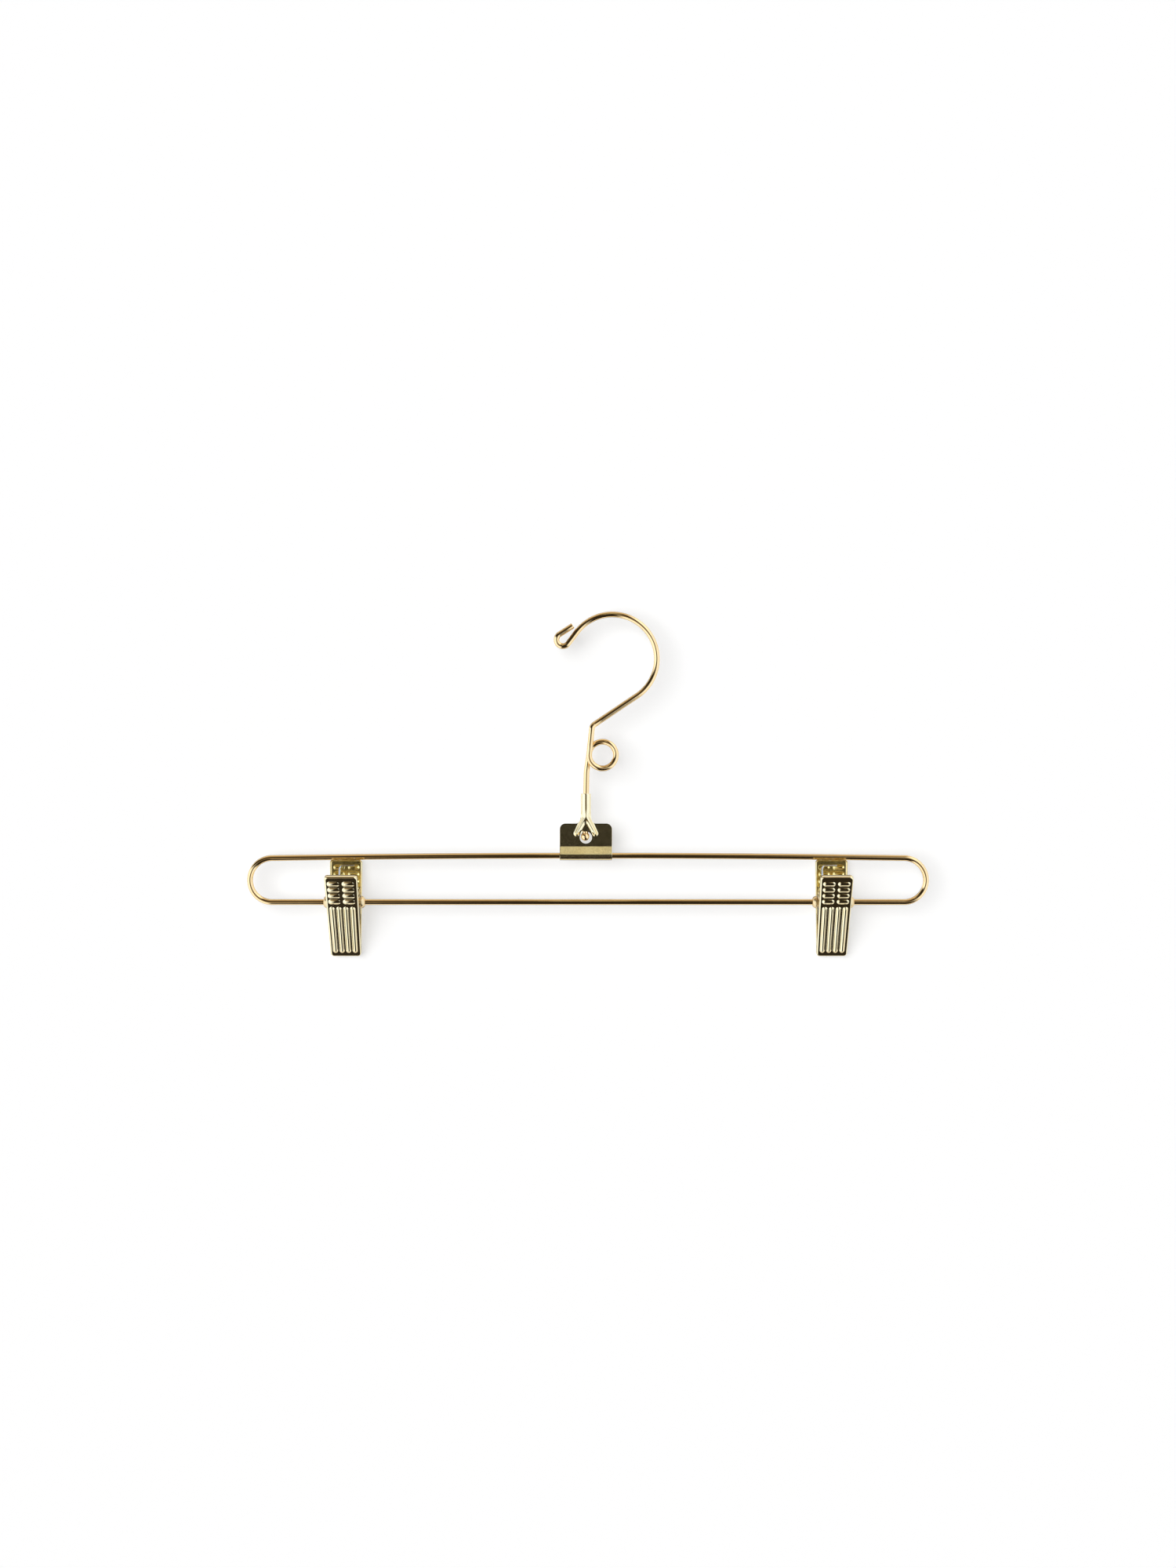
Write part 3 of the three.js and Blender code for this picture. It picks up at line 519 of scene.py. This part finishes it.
def embossing(x, z, inset):
    """Height of the pads and ribs pressed out of a jaw's face, narrowed by `inset` on the hollow side."""
    height = np.zeros_like(x)

    def bead(tall, half_width, cx, cz, half_long, upright, flatness, dome):
        along, off = (z - cz, x - cx) if upright else (x - cx, z - cz)
        reach = half_long - half_width
        away = np.hypot(np.maximum(np.abs(along) - reach, 0), off) / (half_width - inset)
        round_top = np.clip(1 - away**flatness, 0, 1)
        foot = np.clip(round_top / FOOT_SHARE, 0, 1)
        sink = 1 - dome * np.clip(np.abs(along) / half_long, 0, 1) ** 2
        return tall * sink * (round_top - FOOT_DIP * (1 - foot) ** 2 * (round_top > 0))

    for row in range(PAD_ROWS):
        for cx in (-PAD_COLUMN, PAD_COLUMN):
            cz = PAD_LOWEST + row * PAD_PITCH
            pad = bead(PAD_HEIGHT, PAD_HALF_WIDTH, cx, cz, PAD_LENGTH / 2, upright=False, flatness=2.2, dome=0.6)
            height = np.maximum(height, pad)
    for i in range(GRIP_RIBS):
        cx = (i - (GRIP_RIBS - 1) / 2) * GRIP_PITCH
        cz, half_long = (GRIP_TOP + GRIP_BOTTOM) / 2, (GRIP_TOP - GRIP_BOTTOM) / 2
        rib = bead(GRIP_HEIGHT, GRIP_HALF_WIDTH, cx, cz, half_long, upright=True, flatness=2, dome=0.0)
        height = np.maximum(height, rib)
    return height


def ear_outline(root):
    """An ear's side view as (y, z) points: from its root at the flange to a round end about the pivot."""
    flange = JAW_FACE - FLANGE_DEPTH
    upper = math.atan2(EAR_UP, -flange) - math.acos(EAR_RADIUS / math.hypot(flange, EAR_UP))
    lower = math.atan2(-EAR_DOWN, -flange) + math.acos(EAR_RADIUS / math.hypot(flange, EAR_DOWN))
    nose = [(EAR_RADIUS * math.cos(a), EAR_RADIUS * math.sin(a)) for a in np.linspace(lower, upper, NOSE_POINTS)]
    return [(-root, -EAR_DOWN), (-flange, -EAR_DOWN), *nose, (-flange, EAR_UP), (-root, EAR_UP)]


def add_plate(shell, outline, hole_radius, low_x, high_x, edge):
    """Adds a flat plate cut to an outline, with a pivot hole if a radius is given and its edges taken off."""
    loops = [outline]
    if hole_radius:
        turns = np.linspace(0, 2 * math.pi, HOLE_SIDES + 1)[:-1]
        loops.append([(hole_radius * math.cos(a), hole_radius * math.sin(a)) for a in turns])
    cut = [spot for loop in loops for spot in loop]
    cap = tessellate_polygon([[Vector((y, z, 0.0)) for y, z in loop] for loop in loops])
    blank = bmesh.new()
    lower, upper = [[blank.verts.new((x * MM, y * MM, z * MM)) for y, z in cut] for x in (low_x, high_x)]
    for a, b, c in cap:
        blank.faces.new((lower[a], lower[b], lower[c]))
        blank.faces.new((upper[c], upper[b], upper[a]))
    start = 0
    for loop in loops:
        for i in range(len(loop)):
            a, b = start + i, start + (i + 1) % len(loop)
            blank.faces.new((lower[a], lower[b], upper[b], upper[a]))
        start += len(loop)
    bmesh.ops.recalc_face_normals(blank, faces=blank.faces)
    bmesh.ops.dissolve_limit(blank, angle_limit=math.radians(1), verts=blank.verts, edges=blank.edges)
    rim = [e for e in blank.edges if e.is_manifold and e.calc_face_angle() > math.radians(60)]
    bmesh.ops.bevel(blank, geom=rim, offset=edge * MM, segments=2, profile=0.5, affect="EDGES")
    made = bpy.data.meshes.new("plate")
    blank.to_mesh(made)
    blank.free()
    shell.from_mesh(made)
    bpy.data.meshes.remove(made)


def pressed_jaw(name, side_of_clip, finish, hollow_bounce_painted_finish):
    """One jaw in its own frame: face toward -Y, handle up, pivot at the origin."""
    flat_x = JAW_HALF - JAW_EDGE
    low, high = -TIP_REACH + JAW_EDGE, HANDLE_REACH - JAW_EDGE
    middle, half_high = (low + high) / 2, (high - low) / 2
    x, z = np.meshgrid(np.linspace(-flat_x, flat_x, JAW_COLUMNS + 1), np.linspace(low, high, JAW_RANKS + 1))
    over_x = np.maximum(np.abs(x) - flat_x + JAW_CORNER, 0)
    over_z = np.maximum(np.abs(z - middle) - half_high + JAW_CORNER, 0)
    in_corner = (over_x > 0) & (over_z > 0)
    pull = np.where(in_corner, np.maximum(over_x, over_z) / np.maximum(np.hypot(over_x, over_z), 1e-9), 1)
    facing = np.arctan2(np.sign(z - middle) * over_z, np.sign(x) * over_x)
    x = np.where(pull < 1, np.sign(x) * (flat_x - JAW_CORNER + over_x * pull), x)
    z = np.where(pull < 1, middle + np.sign(z - middle) * (half_high - JAW_CORNER + over_z * pull), z)
    outer = np.stack([x, -(JAW_FACE + embossing(x, z, 0.0)), z], -1).reshape(-1, 3)
    inner = np.stack([x, -(JAW_FACE - JAW_SHEET + embossing(x, z, HOLLOW_INSET)), z], -1).reshape(-1, 3)
    number = np.arange(x.size).reshape(x.shape)
    corners = number[:-1, :-1], number[:-1, 1:], number[1:, 1:], number[1:, :-1]
    faces = list(zip(*(corner.ravel().tolist() for corner in corners)))
    face_count, shift = len(faces), number.size
    faces += [tuple(i + shift for i in reversed(f)) for f in faces]
    rim = [*number[0, :-1], *number[:-1, -1], *number[-1, :0:-1], *number[:0:-1, 0]]
    edge = [(int(i), facing.ravel()[i]) for i in rim]
    points = [*outer, *inner]

    def rim_height(z):
        return max(JAW_FACE - FLANGE_DEPTH, -z * math.tan(math.radians(JAW_ANGLE / 2)) + MEETING_GAP)

    def ring(offset, depth):
        """One row of the tray's wall: `depth` gives the distance from the pivot plane at a height."""
        start = len(points)
        for i, outward in edge:
            out = np.array([math.cos(outward), 0.0, math.sin(outward)])
            spot = outer[i] * [1, 0, 1] + out * offset
            spot[1] = -depth(spot[2])
            points.append(spot)
        return list(range(start, start + len(edge)))

    inside = JAW_EDGE - JAW_SHEET
    wall_rows = [[i for i, _ in edge]]
    for t in np.radians(np.linspace(0, 90, 7)[1:]):
        wall_rows.append(ring(JAW_EDGE * math.sin(t), lambda z, t=t: JAW_FACE - JAW_EDGE * (1 - math.cos(t))))
    for offset, above in [
        (JAW_EDGE, 0.1), (JAW_EDGE - 0.08, 0.02), (JAW_EDGE - 0.3, 0.0), (inside + 0.08, 0.02), (inside, 0.1),
    ]:
        wall_rows.append(ring(offset, lambda z, above=above: rim_height(z) + above))
    for t in np.radians([90, 45]):
        wall_rows.append(ring(
            inside * math.sin(t), lambda z, t=t: JAW_FACE - JAW_SHEET - inside * (1 - math.cos(t)),
        ))
    wall_rows.append([i + shift for i, _ in edge])
    for upper, lower in zip(wall_rows, wall_rows[1:]):
        for k in range(len(edge)):
            n = (k + 1) % len(edge)
            faces.append((upper[k], lower[k], lower[n], upper[n]))

    piece = sheet_piece(name, points, faces, finish)
    # The hollow side takes the second finish. Its deeper yellow is painted bounce light between the trays.
    piece.data.materials.append(hollow_bounce_painted_finish)
    for k in range(face_count, 2 * face_count):
        piece.data.polygons[k].material_index = 1
    shell = bmesh.new()
    shell.from_mesh(piece.data)
    bmesh.ops.remove_doubles(shell, verts=shell.verts, dist=1e-6)
    set_in = side_of_clip == "back"
    wall = JAW_HALF - JAW_SHEET
    ear_low = wall - EAR_SET_IN if set_in else wall + 0.02
    root = JAW_FACE - FLANGE_DEPTH + EAR_ROOTS[side_of_clip]
    for side in (-1, 1):
        span = sorted((side * ear_low, side * (ear_low + JAW_SHEET - 0.04)))
        add_plate(shell, ear_outline(root), PIVOT_HOLE, *span, edge=0.1)
        if set_in:
            joggle = sorted((side * (ear_low + 0.1), side * (wall + 0.15)))
            heel, toe = JAW_FACE - JAW_SHEET + 0.1, JAW_FACE - FLANGE_DEPTH + 0.1
            block = [(-heel, -EAR_DOWN), (-toe, -EAR_DOWN), (-toe, EAR_UP), (-heel, EAR_UP)]
            add_plate(shell, block, 0, *joggle, edge=0.12)
    for spot in shell.verts:
        spot.co.x *= 1 + JAW_TAPER * spot.co.z / MM
    shell.to_mesh(piece.data)
    shell.free()
    return piece


clip_gold = plated_metal(
    "clip_gold", pale=(0.89, 0.77, 0.50), deep=(0.86, 0.72, 0.43),
    drift=150.0, smoothest=0.05, dullest=0.10, waves=0.08, grain=0.05,
)
# The hollow sides get a deeper, more saturated yellow than the clip's own gold. This is painted reflection,
# standing in for the light that bounces between the two gold trays.
hollow_bounce_painted_gold = plated_metal(
    "hollow_bounce_painted_gold", pale=(0.88, 0.75, 0.34), deep=(0.84, 0.68, 0.27),
    drift=150.0, smoothest=0.10, dullest=0.18, waves=0.15, grain=0.05,
)
jaw_turns = {"front": Matrix.Rotation(math.radians(JAW_ANGLE), 4, "X"), "back": Matrix.Rotation(math.pi, 4, "Z")}
for clip, centre_x in CLIP_CENTRES.items():
    pivot = Matrix.Translation(Vector((centre_x, 0.0, LOWER_WIRE_Z)) * MM)
    for side_of_clip, jaw_turn in jaw_turns.items():
        jaw = pressed_jaw(f"{clip}_{side_of_clip}_tray", side_of_clip, clip_gold, hollow_bounce_painted_gold)
        jaw.data.transform(pivot @ jaw_turn)
        shade_by_angle(jaw, 62)
        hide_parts(f"{clip}_{side_of_clip}_jaw")
        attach(jaw, f"{clip}_{side_of_clip}")

# The pivot eyelet is a short brass-plated tube that slides on the lower wire and carries both jaws.
# Its ends are spun out into soft trumpet heads that keep the ears together.
EYELET_BORE = 1.8
EYELET_RADIUS = 2.2
EYELET_FILLET = 0.15
EYELET_SEAT = 8.45
EYELET_HEAD = 2.1
EYELET_RIM = 3.2
EYELET_LIP = 0.2
EYELET_TIP = 2.15
EYELET_EDGE = 0.1
EYELET_SIDES = 64


def spun_eyelet(name, finish):
    """The eyelet's section turned about the wire."""
    half = [
        (EYELET_RADIUS, 0.0), (EYELET_RADIUS, EYELET_SEAT - EYELET_FILLET),
        (EYELET_RADIUS + EYELET_FILLET, EYELET_SEAT), (EYELET_RIM - EYELET_LIP, EYELET_SEAT),
    ]
    lip_r, lip_x = EYELET_RIM - EYELET_LIP, EYELET_SEAT + EYELET_LIP
    for t in np.radians(np.linspace(-70, 25, 7)):
        half.append((lip_r + EYELET_LIP * math.cos(t), lip_x + EYELET_LIP * math.sin(t)))
    base_r, base_x = half[-1]
    end_x = EYELET_SEAT + EYELET_HEAD
    for s in np.linspace(0, 1, 15)[1:]:
        half.append((base_r + (EYELET_TIP - base_r) * s**2, base_x + (end_x - base_x) * s))
    half += [
        (EYELET_TIP - EYELET_EDGE, end_x + 0.04), (EYELET_BORE + EYELET_EDGE, end_x),
        (EYELET_BORE, end_x - EYELET_EDGE), (EYELET_BORE, 0.0),
    ]
    section = half + [(r, -x) for r, x in half[-2:0:-1]]
    turns = np.linspace(0, 2 * math.pi, EYELET_SIDES + 1)[:-1]
    points = [(x, r * math.cos(a), r * math.sin(a)) for r, x in section for a in turns]
    faces = []
    for k in range(len(section)):
        here, ahead = k * EYELET_SIDES, (k + 1) % len(section) * EYELET_SIDES
        for i in range(EYELET_SIDES):
            n = (i + 1) % EYELET_SIDES
            faces.append((here + i, here + n, ahead + n, ahead + i))
    piece = sheet_piece(name, points, faces, finish)
    turn_outward(piece)
    return piece


eyelet_satin = plated_metal(
    "eyelet_satin", pale=(0.80, 0.62, 0.36), deep=(0.76, 0.56, 0.30),
    drift=150.0, smoothest=0.26, dullest=0.36, waves=0.05, grain=0.05,
)
for clip, centre_x in CLIP_CENTRES.items():
    eyelet = spun_eyelet(clip + "_spun_eyelet", eyelet_satin)
    eyelet.data.transform(Matrix.Translation(Vector((centre_x, 0.0, LOWER_WIRE_Z)) * MM))
    shade_by_angle(eyelet, 40)
    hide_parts(clip + "_pivot_eyelet")
    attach(eyelet, clip + "_pivot")

# The torsion spring is bright nickelled music wire, coiled four turns round the eyelet.
# Its two legs rise inside the handles and end in feet that press them apart.
SPRING_WIRE = 1.0
SPRING_SIDES = 20
COIL_RADIUS = 3.1
COIL_PITCH = 1.55
COIL_TURNS = 4
COIL_STATIONS = 200
FOOT_HEIGHT = 18.4
FOOT_DEPTH = 7.83
FOOT_LENGTH = 6.0
FOOT_BEND = 1.6
SPRING_STARTS = {"left": -3.4, "right": -4.9}

spring_nickel = plated_metal(
    "spring_nickel", pale=(0.72, 0.74, 0.78), deep=(0.60, 0.62, 0.66),
    drift=200.0, smoothest=0.10, dullest=0.20, waves=0.05, grain=0.03,
)


def spring_line(start):
    """Centre line of the spring about the pivot: back foot and leg, the coil, front leg and foot."""
    reach = math.hypot(FOOT_DEPTH, FOOT_HEIGHT)
    lean = math.atan2(FOOT_DEPTH, FOOT_HEIGHT) - math.asin(COIL_RADIUS / reach)
    front_lean = lean + math.radians(JAW_ANGLE)
    leg_length = math.sqrt(reach**2 - COIL_RADIUS**2)
    first = math.pi / 2 + lean
    last = 1.5 * math.pi - lean - math.radians(JAW_ANGLE) + 2 * math.pi * COIL_TURNS
    coil = []
    for a in np.linspace(first, last, COIL_STATIONS):
        along = start + COIL_PITCH * (a - first) / (2 * math.pi)
        coil.append(np.array([along, COIL_RADIUS * math.sin(a), COIL_RADIUS * math.cos(a)]))

    def leg(root, up, side):
        bend = root + up * (leg_length - FOOT_BEND)
        made = [root + (bend - root) * s for s in np.linspace(0, 1, 10)[1:-1]]
        for t in np.radians(np.linspace(0, 90, 13)):
            made.append(bend + up * FOOT_BEND * math.sin(t) + [side * FOOT_BEND * (1 - math.cos(t)), 0, 0])
        made.append(made[-1] + [side * FOOT_LENGTH, 0, 0])
        return made

    back_leg = leg(coil[0], np.array([0, math.sin(lean), math.cos(lean)]), 1)
    front_leg = leg(coil[-1], np.array([0, -math.sin(front_lean), math.cos(front_lean)]), -1)
    return back_leg[::-1] + coil + front_leg


for clip, centre_x in CLIP_CENTRES.items():
    pivot = np.array([centre_x, 0.0, LOWER_WIRE_Z])
    line = [p + pivot for p in spring_line(SPRING_STARTS[clip])]
    spring = drawn_wire(clip + "_torsion_spring", line, SPRING_WIRE, SPRING_SIDES, spring_nickel)
    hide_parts(clip + "_spring")
    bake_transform(spring)

# The set: the hanger hangs close before white paper that takes its shadow, between two tall soft boxes and under a
# dim warm ceiling, with a dark room round the camera. The paper shows from the front only, so that the hanger can
# be seen from behind. The camera stands square to the frame, as in the photograph.
CAMERA_PLACE = (-0.01248, -1.1181, -0.08556)
PAPER_PLACE = (0.0, 0.0112, -0.09)
PAPER_SIZE = 2.0
PAPER_SHADE = 0.40
PAPER_WHITE = 0.61
SUN_POWER = 3.4
SUN_SPREAD = 0.9
SUN_HEADING = (0.52, 1.1, -0.15)
CARD_PLACE = (-0.0138, -0.466, 0.258)
CARD_AIM = (-0.0136, 0.0, -0.1196)
CARD_WATTS = 0.018
LEFT_LEVEL, RIGHT_LEVEL = 1.4, 1.15
CEILING_LEVEL, RIM_LEVEL, ROOM_LEVEL = 0.6, 0.4, 0.03
BACK_DARK = 0.9
studio = bpy.context.scene
studio.view_settings.view_transform = "Standard"
lens = bpy.data.cameras.new("camera")
lens.lens = 50.0
lens.sensor_width = 36.0
lens.clip_start = 0.01
camera = bpy.data.objects.new("camera", lens)
camera.location = CAMERA_PLACE
camera.rotation_euler = (math.pi / 2, 0.0, 0.0)
bpy.context.collection.objects.link(camera)
studio.camera = camera

room = bpy.data.worlds.new("room")
room.use_nodes = True
studio.world = room
room.cycles_visibility.diffuse = False
sky = room.node_tree
sky.nodes.clear()


def soft_step(socket, low, high, top=1.0):
    """Light that rises smoothly from nothing to `top` as a direction's part goes from low to high."""
    made = add_node(sky, "ShaderNodeMapRange", interpolation_type="SMOOTHSTEP", **{
        "From Min": low, "From Max": high, "To Max": top,
    })
    sky.links.new(socket, made.inputs["Value"])
    return made.outputs["Result"]


def combine(operation, a, b):
    """Joins two light levels."""
    made = add_node(sky, "ShaderNodeMath", operation=operation)
    for socket, value in zip(made.inputs, (a, b)):
        if isinstance(value, float):
            socket.default_value = value
        else:
            sky.links.new(value, socket)
    return made.outputs[0]


def toward(right, top):
    """How far a direction leans to one side of the camera's axis."""
    return combine("ADD", combine("MULTIPLY", right_share, right), combine("MULTIPLY", top_share, top))


aim = add_node(sky, "ShaderNodeTexCoord")
parts = add_node(sky, "ShaderNodeSeparateXYZ")
sky.links.new(aim.outputs["Generated"], parts.inputs[0])
to_right, to_back, to_top = parts.outputs
off_axis_square = combine("SUBTRACT", 1.0, combine("MULTIPLY", to_back, to_back))
off_axis = combine("SQRT", combine("MAXIMUM", off_axis_square, 1e-6), 0.0)
right_share = combine("DIVIDE", to_right, off_axis)
top_share = combine("DIVIDE", to_top, off_axis)

left_top = combine("SUBTRACT", 1.0, soft_step(top_share, 0.35, 0.60))
left_side = combine("MULTIPLY", soft_step(toward(-0.906, -0.423), 0.54, 0.74), left_top)
right_side = soft_step(toward(0.988, 0.156), 0.36, 0.64)
ceiling = combine(
    "MULTIPLY", soft_step(toward(0.087, 0.996), 0.57, 0.94), soft_step(off_axis, 0.45, 1.05, CEILING_LEVEL),
)
low_left = combine("ADD", 1.0, soft_step(combine("MULTIPLY", top_share, -1.0), 0.1, 0.7, 0.9))
full_left = soft_step(combine("DIVIDE", off_axis, low_left), 0.19, 0.50)
full_right = soft_step(off_axis, 0.20, 0.50)
left_box = combine("MULTIPLY", combine("MULTIPLY", left_side, full_left), LEFT_LEVEL)
right_box = combine("MULTIPLY", combine("MULTIPLY", right_side, full_right), RIGHT_LEVEL)
boxes = combine("MAXIMUM", left_box, right_box)
rim_left = combine("MULTIPLY", left_side, combine("SUBTRACT", 1.0, full_left))
rim_right = combine("MULTIPLY", right_side, combine("SUBTRACT", 1.0, full_right))
rims = combine("MULTIPLY", combine("ADD", rim_left, rim_right), soft_step(off_axis, 0.08, 0.30, RIM_LEVEL))
glow = combine("ADD", combine("ADD", ceiling, rims), ROOM_LEVEL)
behind = combine("SUBTRACT", soft_step(to_back, -0.02, 0.02), soft_step(to_back, 0.48, 0.84, BACK_DARK))

path = add_node(sky, "ShaderNodeLightPath")
mirrored = combine("ADD", path.outputs["Is Glossy Ray"], path.outputs["Is Transmission Ray"])
seen = combine("ADD", path.outputs["Is Camera Ray"], combine("MULTIPLY", mirrored, behind))
seen = combine("MINIMUM", seen, 1.0)
unseen = combine("SUBTRACT", 1.0, seen)
white = add_node(sky, "ShaderNodeBackground", Color=(1.0, 1.0, 1.0, 1.0))
cool = add_node(sky, "ShaderNodeBackground", Color=(0.97, 1.08, 1.22, 1.0))
warm = add_node(sky, "ShaderNodeBackground")
lamp_glow = blend_colours(sky, 0.08, (1.0, 0.92, 0.62), 0.25, (1.0, 0.79, 0.52))
lamps_only, all_light = add_node(sky, "ShaderNodeAddShader"), add_node(sky, "ShaderNodeAddShader")
join(sky, [
    (seen, white.inputs["Strength"]),
    (combine("MULTIPLY", boxes, unseen), cool.inputs["Strength"]),
    (off_axis, lamp_glow.inputs["Fac"]),
    (lamp_glow.outputs["Color"], warm.inputs["Color"]),
    (combine("MULTIPLY", glow, unseen), warm.inputs["Strength"]),
    (cool.outputs[0], lamps_only.inputs[0]),
    (warm.outputs[0], lamps_only.inputs[1]),
    (lamps_only.outputs[0], all_light.inputs[0]),
    (white.outputs[0], all_light.inputs[1]),
    (all_light.outputs[0], add_node(sky, "ShaderNodeOutputWorld").inputs[0]),
])

backdrop_mesh = bmesh.new()
bmesh.ops.create_grid(
    backdrop_mesh, x_segments=1, y_segments=1, size=PAPER_SIZE,
    matrix=Matrix.Translation(PAPER_PLACE) @ Matrix.Rotation(math.pi / 2, 4, "X"),
)
backdrop_data = bpy.data.meshes.new("backdrop")
backdrop_mesh.to_mesh(backdrop_data)
backdrop_mesh.free()
paper = bpy.data.materials.new("white_paper")
paper.use_nodes = True
sheet = paper.node_tree
matt = sheet.nodes["Principled BSDF"]
matt.inputs["Base Color"].default_value = (PAPER_SHADE, PAPER_SHADE, PAPER_SHADE, 1.0)
matt.inputs["Roughness"].default_value = 0.9
matt.inputs["Specular IOR Level"].default_value = 0.0
paper_path = add_node(sheet, "ShaderNodeLightPath")
paper_side = add_node(sheet, "ShaderNodeNewGeometry")
to_metal = add_node(sheet, "ShaderNodeMath", operation="MAXIMUM")
base_white = add_node(sheet, "ShaderNodeMath", operation="MULTIPLY")
base_white.inputs[1].default_value = PAPER_WHITE
paper_glow = add_node(sheet, "ShaderNodeEmission")
paper_lit = add_node(sheet, "ShaderNodeAddShader")
see_through = add_node(sheet, "ShaderNodeMath", operation="MAXIMUM")
clear = add_node(sheet, "ShaderNodeBsdfTransparent")
paper_mix = add_node(sheet, "ShaderNodeMixShader")
join(sheet, [
    (paper_path.outputs["Is Camera Ray"], base_white.inputs[0]),
    (base_white.outputs[0], paper_glow.inputs["Strength"]),
    (matt.outputs[0], paper_lit.inputs[0]),
    (paper_glow.outputs[0], paper_lit.inputs[1]),
    (paper_path.outputs["Is Glossy Ray"], to_metal.inputs[0]),
    (paper_path.outputs["Is Transmission Ray"], to_metal.inputs[1]),
    (to_metal.outputs[0], see_through.inputs[0]),
    (paper_side.outputs["Backfacing"], see_through.inputs[1]),
    (see_through.outputs[0], paper_mix.inputs["Fac"]),
    (paper_lit.outputs[0], paper_mix.inputs[1]),
    (clear.outputs[0], paper_mix.inputs[2]),
    (paper_mix.outputs[0], sheet.nodes["Material Output"].inputs["Surface"]),
])
backdrop_data.materials.append(paper)
backdrop = bpy.data.objects.new("backdrop", backdrop_data)
bpy.context.collection.objects.link(backdrop)


def hang_lamp(name, kind, energy, place, heading, shows_in_metal, **settings):
    """A lamp that shines along a heading."""
    light = bpy.data.lights.new(name, kind)
    light.energy = energy
    for key, value in settings.items():
        setattr(light, key, value)
    made = bpy.data.objects.new(name, light)
    made.location = place
    made.rotation_euler = Vector(heading).to_track_quat("-Z", "Y").to_euler()
    made.visible_glossy = shows_in_metal
    bpy.context.collection.objects.link(made)


hang_lamp("paper_key", "SUN", SUN_POWER, (0.0, 0.0, 0.0), SUN_HEADING, False, angle=SUN_SPREAD)
hang_lamp(
    "bracket_card", "AREA", CARD_WATTS, CARD_PLACE, Vector(CARD_AIM) - Vector(CARD_PLACE), True,
    shape="ELLIPSE", size=0.075, size_y=0.14, color=(1.0, 0.98, 0.71),
)
